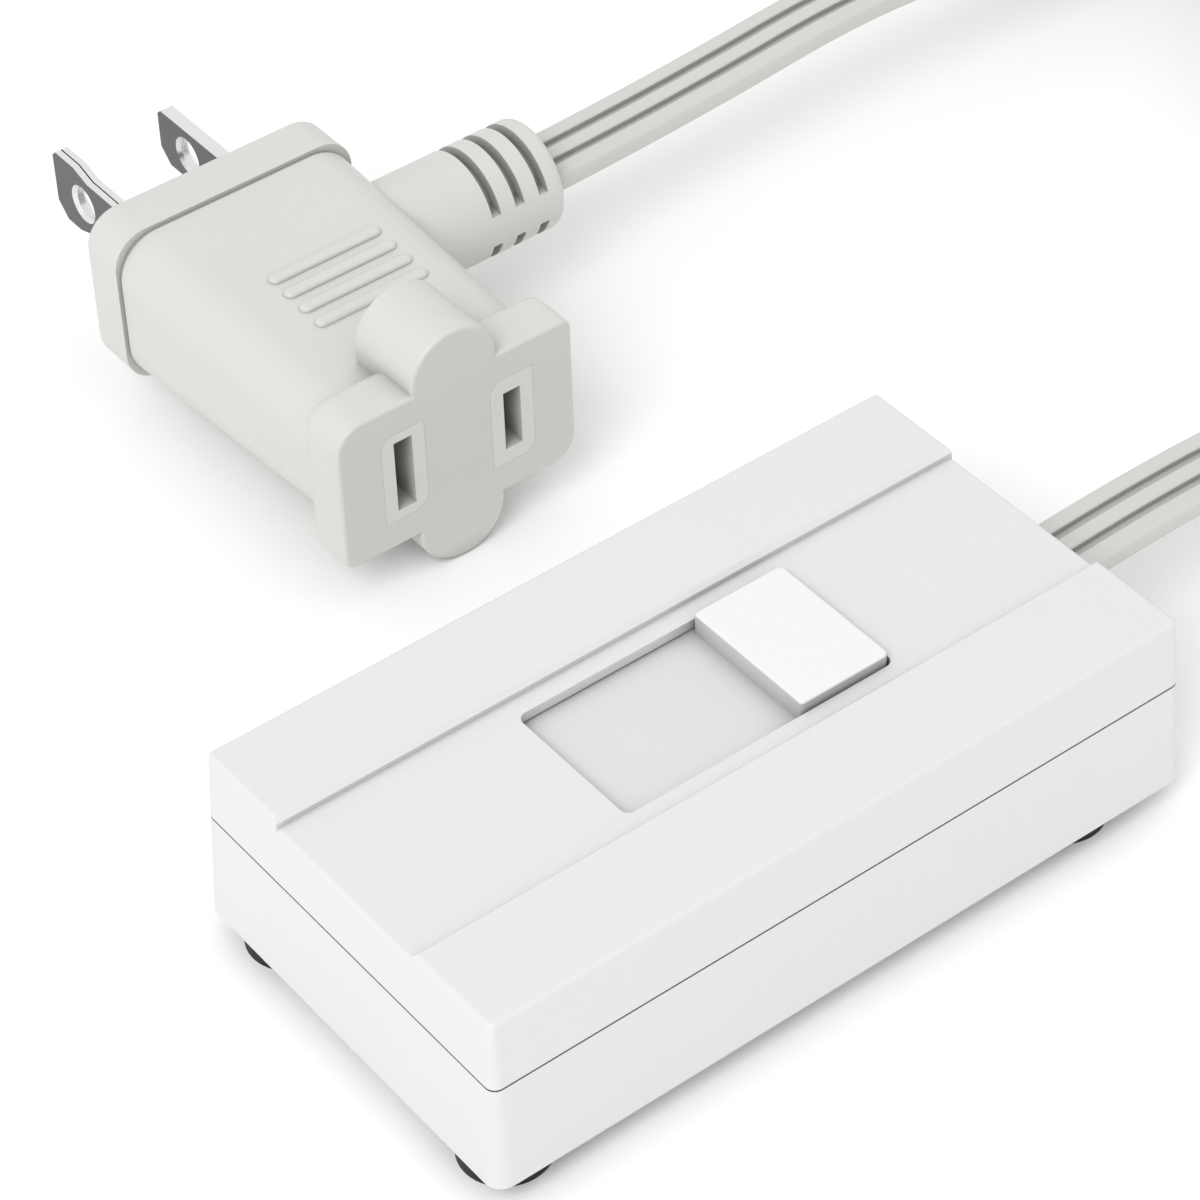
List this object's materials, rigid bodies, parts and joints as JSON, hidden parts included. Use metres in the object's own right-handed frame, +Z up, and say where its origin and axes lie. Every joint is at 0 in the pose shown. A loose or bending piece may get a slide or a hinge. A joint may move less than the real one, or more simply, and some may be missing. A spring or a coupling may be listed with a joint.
{
  "type": "plug-in slide dimmer",
  "caption": "Tabletop lamp dimmer: white case with a sliding knob, flat cord, and a plug with its own receptacle.",
  "frame": {"origin": "Centre of the case's base, on the surface that its feet stand on.", "axes": "+X runs along the case towards the end where the cord leaves, +Y to the side where the plug lies, +Z up."},
  "size_m": [0.2671, 0.1279, 0.0278],
  "materials": {
    "case_white": "fine satin moulded white ABS",
    "knob_white": "satin moulded white ABS",
    "white_plastic": "moulded nylon",
    "black_rubber": "matt black",
    "cord_grey": "soft PVC jacket",
    "plug_grey": "soft moulded PVC",
    "core_grey": "moulded, slightly darker",
    "blade_nickel": "nickel-plated brass",
    "brass": "sheet",
    "steel": "zinc plated",
    "aluminium": "mill finish",
    "copper": "enamelled copper wire",
    "ferrite": "dark sintered ferrite",
    "board": "phenolic paper laminate",
    "phenolic": "brown phenolic",
    "carbon": "carbon film",
    "black_plastic": "epoxy or nylon, matt",
    "red_plastic": "dipped epoxy",
    "resistor_tan": "lacquered film resistor",
    "diac_blue": "small glass body",
    "fuse_glass": "glass tube",
    "wire_black": "PVC insulation",
    "wire_red": "PVC insulation",
    "wire_white": "PVC insulation"
  },
  "bodies": {
    "case": {"bottom_shell": "case_white", "top_shell": "case_white", "rubber_feet": "black_rubber", "case_screws": "steel", "circuit_board": "board", "board_screws": "steel", "pot_housing": "steel", "pot_base": "phenolic", "pot_track": "carbon", "heat_sink": "aluminium", "triac": "black_plastic", "triac_screw": "steel", "choke_core": "ferrite", "choke_winding": "copper", "film_capacitor": "red_plastic", "timing_capacitor": "red_plastic", "resistors": "resistor_tan", "diac": "diac_blue", "fuse": "fuse_glass", "cord_tail": "cord_grey", "wire_line": "wire_black", "wire_load": "wire_red", "wire_neutral": "wire_white", "cord_clamp": "black_plastic", "clamp_screws": "steel", "cord_lead_case": "cord_grey", "cord_coil": "cord_grey", "cord_lead_plug": "cord_grey", "plug_body": "plug_grey", "socket_core": "core_grey", "contact_neutral": "brass", "contact_hot": "brass", "blade_neutral": "blade_nickel", "blade_hot": "blade_nickel", "cord_tail_plug": "cord_grey"},
    "slider": {"slider_knob": "knob_white", "dust_shield": "white_plastic", "pot_lever": "white_plastic"}
  },
  "joints": [
    {"name": "knob_slide", "type": "slide", "parent": "case", "child": "slider", "axis": [1, 0, 0], "range_m": [-0.019, 0]}
  ]
}
